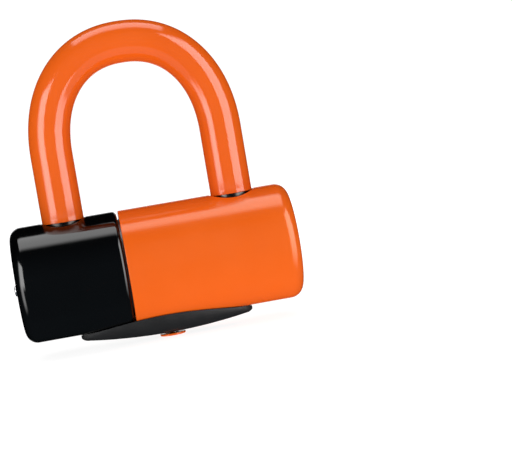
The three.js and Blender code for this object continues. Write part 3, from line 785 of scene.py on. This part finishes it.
def make_bezel():
    stations = -BEZEL_LENGTH * np.cos(np.linspace(0, math.pi, BEZEL_STATIONS))
    stations[0], stations[-1] = -BEZEL_LENGTH, BEZEL_LENGTH
    shape = skin([bezel_section(x) for x in stations])
    bottom = AXIS_Z + BEZEL_BOTTOM
    low = bottom - BELOW
    nose = BARREL_LOW[2]

    def recess(radius, seat, at, surface, flare=0.3):
        """A round recess with a chamfered mouth; surface is the bezel's height there."""
        end = surface - BELOW
        return rod(radius, (seat, end), at=at, flare=surface + flare - end)

    mouth_radius = 4.0
    mouth_seat = nose + 0.3
    washer_seat = bottom + 0.8
    head_seat = bottom + 2.2
    head_height = 1.1
    head_hole = RIVET_HEAD_RADIUS + GAP
    cuts = [
        recess(mouth_radius, mouth_seat, (LOCK_X, 0), bottom),
        rod(NOSE_RADIUS + GAP, (nose - GAP, AXIS_Z), at=(LOCK_X, 0)),
        rod(COVER_PIN_RADIUS + GAP, (low, AXIS_Z), at=(LOCK_X, PIVOT_Y)),
        recess(WASHER_RADIUS + GAP, washer_seat, (LOCK_X, PIVOT_Y), bottom, flare=0.12),
    ]
    for side in (-1, 1):
        x = side * RIVET_X
        cuts.append(rod(SHANK_RADIUS + GAP, (low, AXIS_Z), at=(x, 0)))
        cuts.append(recess(head_hole, head_seat, (x, 0), AXIS_Z + bezel_floor(x)))
        node = "bezel_rivet_left" if side < 0 else "bezel_rivet_right"
        start, end = (corner[2] for corner in span(node))
        profile = turned_rivet(start, end, RIVET_HEAD_RADIUS, head_height, SHANK_RADIUS)
        piece(node + "_body", turned(profile, at=(x, 0, 0)), "crossbar", "dark_steel", node)
    piece("bezel", shape, "crossbar", "black_satin", "keyway_bezel", cuts, sharp=45)


def cover_ring(inset, z):
    """The dust cover's outline, drawn in by inset: a round lid that tapers to an eye."""
    lid = (COVER_HIGH[0] - COVER_LOW[0]) / 2
    eye = lid - 1.45
    spread = math.asin((lid - eye) / PIVOT_Y)
    points = []
    for radius, y, start, end, count in (
        (lid, 0, math.pi - spread, 2 * math.pi + spread, 72),
        (eye, PIVOT_Y, spread, math.pi - spread, 44),
    ):
        for a in np.linspace(start, end, count):
            reach = radius - inset
            points.append((LOCK_X + reach * math.cos(a), y + reach * math.sin(a), z))
    return np.array(points)


def make_cover():
    low, high = COVER_LOW[2], COVER_HIGH[2]
    dome = 0.12
    fillet = 0.32
    edge = 0.1
    deepest = 3.2
    middle_y = 1.5
    fillet_steps = 6
    dome_steps = 7
    rings = [
        np.array([[LOCK_X, middle_y, high]]),
        cover_ring(deepest, high),
        cover_ring(edge, high),
        cover_ring(0, high - edge),
    ]
    for a in np.radians(np.linspace(0, 90, fillet_steps + 1)):
        z = low + dome + fillet * (1 - math.sin(a))
        rings.append(cover_ring(fillet * (1 - math.cos(a)), z))
    for inset in np.linspace(fillet, deepest, dome_steps + 1)[1:]:
        share = (deepest - inset) / (deepest - fillet)
        rings.append(cover_ring(inset, low + dome * share**2))
    rings.append(np.array([[LOCK_X, middle_y, low]]))
    sink_radius = 2.3
    cuts = [
        rod(COVER_PIN_RADIUS + GAP, (low - PAST, high + PAST), at=(LOCK_X, PIVOT_Y)),
        rod(sink_radius, (low + 0.45, low - 0.3), at=(LOCK_X, PIVOT_Y), flare=0.5),
    ]
    piece("cover", skin(rings), "cover", "orange_gloss", "dust_cover", cuts)

    pivot = (LOCK_X, PIVOT_Y, 0)
    head_radius, head_height = 2.0, 0.3
    start, end = (corner[2] for corner in span("cover_rivet"))
    profile = turned_rivet(start, end, head_radius, head_height, COVER_PIN_RADIUS)
    piece("cover_pin", turned(profile, at=pivot), "crossbar", "bright_steel", "cover_rivet")

    low, high = (corner[2] for corner in span("cover_washer"))
    bore = COVER_PIN_RADIUS + GAP
    profile = [
        (bore + edge, low), (WASHER_RADIUS - edge, low), (WASHER_RADIUS, low + edge),
        (WASHER_RADIUS, high - edge), (WASHER_RADIUS - edge, high),
        (bore + edge, high), (bore, high - edge), (bore, low + edge),
    ]
    washer = turned(profile, at=pivot, loop=True)
    piece("washer", washer, "crossbar", "bright_steel", "cover_washer")


make_shackle()
make_crossbar()
make_bolt("deadbolt_left", -1, "left_bolt")
make_bolt("deadbolt_right", 1, "right_bolt")
make_lock_face()
make_bezel()
make_cover()

# The inner pieces keep their CAD shapes
for part in frame["record"]["subparts"]:
    node = frame["nodes"][part["node"]]
    if not node.hide_render:
        node.data.materials.clear()
        node.data.materials.append(MATERIALS[part["material_slot"]])


# Studio ---------------------------------------------------------------------------------------
# All places and sizes from here on are in metres.

LOOK_AT = (0, 0, 0.075)
WHITE = (1, 1, 1)


def square(name, half):
    """A flat square that faces up."""
    mesh = bpy.data.meshes.new(name)
    corners = [(-half, -half, 0), (half, -half, 0), (half, half, 0), (-half, half, 0)]
    mesh.from_pydata(corners, [], [(0, 1, 2, 3)])
    obj = bpy.data.objects.new(name, mesh)
    SCENE.collection.objects.link(obj)
    return obj


def new_material(obj):
    """Gives the object a material of its own name, and returns its nodes."""
    material = bpy.data.materials.new(obj.name)
    material.use_nodes = True
    obj.data.materials.append(material)
    return material.node_tree


def panel(name, middle, facing, size, radiance, feather):
    """A soft light box that shows only in reflections, from its front. feather is how far each
    edge fades, as a share of the half size: left, right, bottom and top, seen from the front."""
    box = square(name, 1)
    box.rotation_mode = "QUATERNION"
    box.rotation_quaternion = (-Vector(facing)).to_track_quat("-Z", "Y")
    box.location = middle
    box.scale = (size[0] / 2, size[1] / 2, 1)
    box.visible_camera = False
    box.visible_diffuse = False
    box.visible_shadow = False
    box.visible_transmission = False
    tree = new_material(box)
    tree.nodes.clear()
    coordinates = tree.nodes.new("ShaderNodeTexCoord")
    axes = tree.nodes.new("ShaderNodeSeparateXYZ")
    tree.links.new(coordinates.outputs["Object"], axes.inputs[0])
    geometry = tree.nodes.new("ShaderNodeNewGeometry")
    shown = remap(tree, geometry.outputs["Backfacing"], 1, 0, 0, 1)
    edges = [("X", -1), ("X", 1), ("Y", -1), ("Y", 1)]
    border = 1.0001
    least = 0.001
    for (axis, side), soft in zip(edges, feather):
        fade = tree.nodes.new("ShaderNodeMapRange")
        fade.interpolation_type = "SMOOTHSTEP"
        fade.inputs["From Min"].default_value = side * border
        fade.inputs["From Max"].default_value = side * (1 - max(soft, least))
        tree.links.new(axes.outputs[axis], fade.inputs["Value"])
        shown = multiply(tree, shown, fade.outputs["Result"])
    emission = tree.nodes.new("ShaderNodeEmission")
    emission.inputs["Strength"].default_value = radiance
    clear = tree.nodes.new("ShaderNodeBsdfTransparent")
    output = tree.nodes.new("ShaderNodeOutputMaterial")
    mix = mix_shaders(tree, shown, clear.outputs[0], emission.outputs[0])
    tree.links.new(mix, output.inputs["Surface"])


def side_panel(name, azimuths, elevations, distance, radiance, feather):
    """An upright light box that fills these angles, seen from the middle of the lock. Azimuth
    is from straight in front towards +X; its high end is the box's left edge."""
    middle = math.radians(sum(azimuths) / 2)
    half = math.radians(abs(azimuths[1] - azimuths[0]) / 2)
    out = Vector((math.sin(middle), -math.cos(middle), 0))
    low, high = (distance * math.tan(math.radians(e)) for e in elevations)
    place = (out.x * distance, out.y * distance, LOOK_AT[2] + (low + high) / 2)
    size = (2 * distance * math.tan(half), high - low)
    panel(name, place, -out, size, radiance, feather)


def area_light(name, place, size, power):
    """A soft light that lights surfaces without showing in reflections."""
    light = bpy.data.lights.new(name, "AREA")
    light.shape = "RECTANGLE"
    light.size, light.size_y = size
    light.energy = power
    obj = bpy.data.objects.new(name, light)
    SCENE.collection.objects.link(obj)
    obj.location = place
    obj.rotation_mode = "QUATERNION"
    obj.rotation_quaternion = (Vector(LOOK_AT) - Vector(place)).to_track_quat("-Z", "Y")
    obj.visible_glossy = False
    obj.visible_camera = False


def make_lights():
    # Azimuths, elevations, distance, radiance and feather
    side_panel("box_left", (-72, -33.5), (-17, 28), 0.27, 6.8, (0.0, 0.8, 0.55, 0.0))
    side_panel("box_left_low", (-76, -45), (-46, 2), 0.28, 4.2, (0.6, 1.0, 1.2, 0.3))
    side_panel("box_right", (29, 73), (-50, 52), 0.5, 5.7, (0.0, 0.0, 1.0, 0.3))
    side_panel("box_behind", (162, 198), (-24, 18), 0.9, 1.0, (0.2, 0.2, 0.1, 0.3))

    # Middle, facing, size, radiance and feather. The edge towards the viewer is the bottom of
    # the panel that faces down, and the top of the one that faces up.
    down, up = (0, 0, -1), (0, 0, 1)
    panel("box_top", (0.01, -0.0125, 0.6), down, (0.54, 0.425), 3.4, (0.1, 0.1, 0.6, 0.3))
    panel("card_low", (0, -0.058, 0.05), up, (0.14, 0.082), 0.65, (0.1, 0.1, 0.0, 0.4))

    # Place, size and power in watts
    area_light("fill_front", (-0.1, -1.05, 0.45), (1.4, 1.0), 5.2)
    area_light("fill_top", (0, 0.1, 1.2), (1.6, 1.6), 6.9)
    area_light("fill_back", (0.2, 1.05, 0.35), (1.4, 1.0), 2.6)


def make_world():
    """A white backdrop that reflections see as a dim room: faint in front and below, and almost
    black above and behind."""
    room_tint = (0.72, 0.95, 1.15)
    brightest_way = (0, -0.85, -0.53)
    darkest, brightest = 0.003, 0.085
    backdrop_level = 1.1
    diffuse_level = 0.35
    world = bpy.data.worlds.new("studio")
    SCENE.world = world
    world.use_nodes = True
    tree = world.node_tree
    background = tree.nodes["Background"]
    rays = tree.nodes.new("ShaderNodeLightPath")
    glossy = rays.outputs["Is Glossy Ray"]
    tree.links.new(mix_colors(tree, glossy, WHITE, room_tint), background.inputs["Color"])
    coordinates = tree.nodes.new("ShaderNodeTexCoord")
    toward = tree.nodes.new("ShaderNodeVectorMath")
    toward.operation = "DOT_PRODUCT"
    toward.inputs[1].default_value = brightest_way
    tree.links.new(coordinates.outputs["Generated"], toward.inputs[0])
    room = remap(tree, toward.outputs["Value"], darkest, brightest, -0.5, 0.7)
    total = multiply(tree, glossy, room)
    for ray, level in (("Is Camera Ray", backdrop_level), ("Is Diffuse Ray", diffuse_level)):
        term = tree.nodes.new("ShaderNodeMath")
        term.operation = "MULTIPLY_ADD"
        term.inputs[1].default_value = level
        tree.links.new(rays.outputs[ray], term.inputs[0])
        tree.links.new(total, term.inputs[2])
        total = term.outputs[0]
    tree.links.new(total, background.inputs["Strength"])


def make_floor():
    """A plain pale floor that glows a little, and more so away from the lock, which keeps the
    shadow faint. It can't be seen from below, so that the underside can be looked at."""
    floor = square("floor", 3.0)
    floor.location.z = -0.0002
    floor.visible_glossy = False
    near_glow, far_glow = 0.87, 1.1
    near, far = 0.08, 0.6
    tree = new_material(floor)
    shader = tree.nodes["Principled BSDF"]
    shader.inputs["Base Color"].default_value = (0.32, 0.32, 0.32, 1)
    shader.inputs["Roughness"].default_value = 0.9
    shader.inputs["Specular IOR Level"].default_value = 0.0
    shader.inputs["Emission Color"].default_value = (*WHITE, 1)
    coordinates = tree.nodes.new("ShaderNodeTexCoord")
    distance = tree.nodes.new("ShaderNodeVectorMath")
    distance.operation = "LENGTH"
    tree.links.new(coordinates.outputs["Object"], distance.inputs[0])
    glow = remap(tree, distance.outputs["Value"], near_glow, far_glow, near, far)
    tree.links.new(glow, shader.inputs["Emission Strength"])
    geometry = tree.nodes.new("ShaderNodeNewGeometry")
    clear = tree.nodes.new("ShaderNodeBsdfTransparent")
    below = geometry.outputs["Backfacing"]
    mix = mix_shaders(tree, below, shader.outputs[0], clear.outputs[0])
    tree.links.new(mix, tree.nodes["Material Output"].inputs["Surface"])


def make_camera():
    """The photograph's viewpoint, as fitted to the lock's outlines: in front and level with the
    lock, aimed a little down and to the right, and rolled."""
    yaw, pitch, roll = -0.1003, -0.05795, 0.16743
    place = (-0.02296, -0.60967, 0.03868 + AXIS_Z * MM)
    focal_share = 3.17262  # focal length over the picture's width
    sensor_width = 36
    forward = Vector(
        (-math.sin(yaw) * math.cos(pitch), math.cos(yaw) * math.cos(pitch), math.sin(pitch))
    )
    level = Vector((math.cos(yaw), math.sin(yaw), 0))
    upright = level.cross(forward)
    right = level * math.cos(roll) - upright * math.sin(roll)
    up = level * math.sin(roll) + upright * math.cos(roll)
    data = bpy.data.cameras.new("camera")
    data.sensor_width = sensor_width
    data.lens = sensor_width * focal_share
    camera = bpy.data.objects.new("camera", data)
    SCENE.collection.objects.link(camera)
    turn = Matrix((right, up, -forward)).transposed().to_4x4()
    camera.matrix_world = Matrix.Translation(place) @ turn
    SCENE.camera = camera


make_lights()
make_world()
make_floor()
make_camera()
SCENE.view_settings.view_transform = "Standard"

bpy.context.view_layer.update()
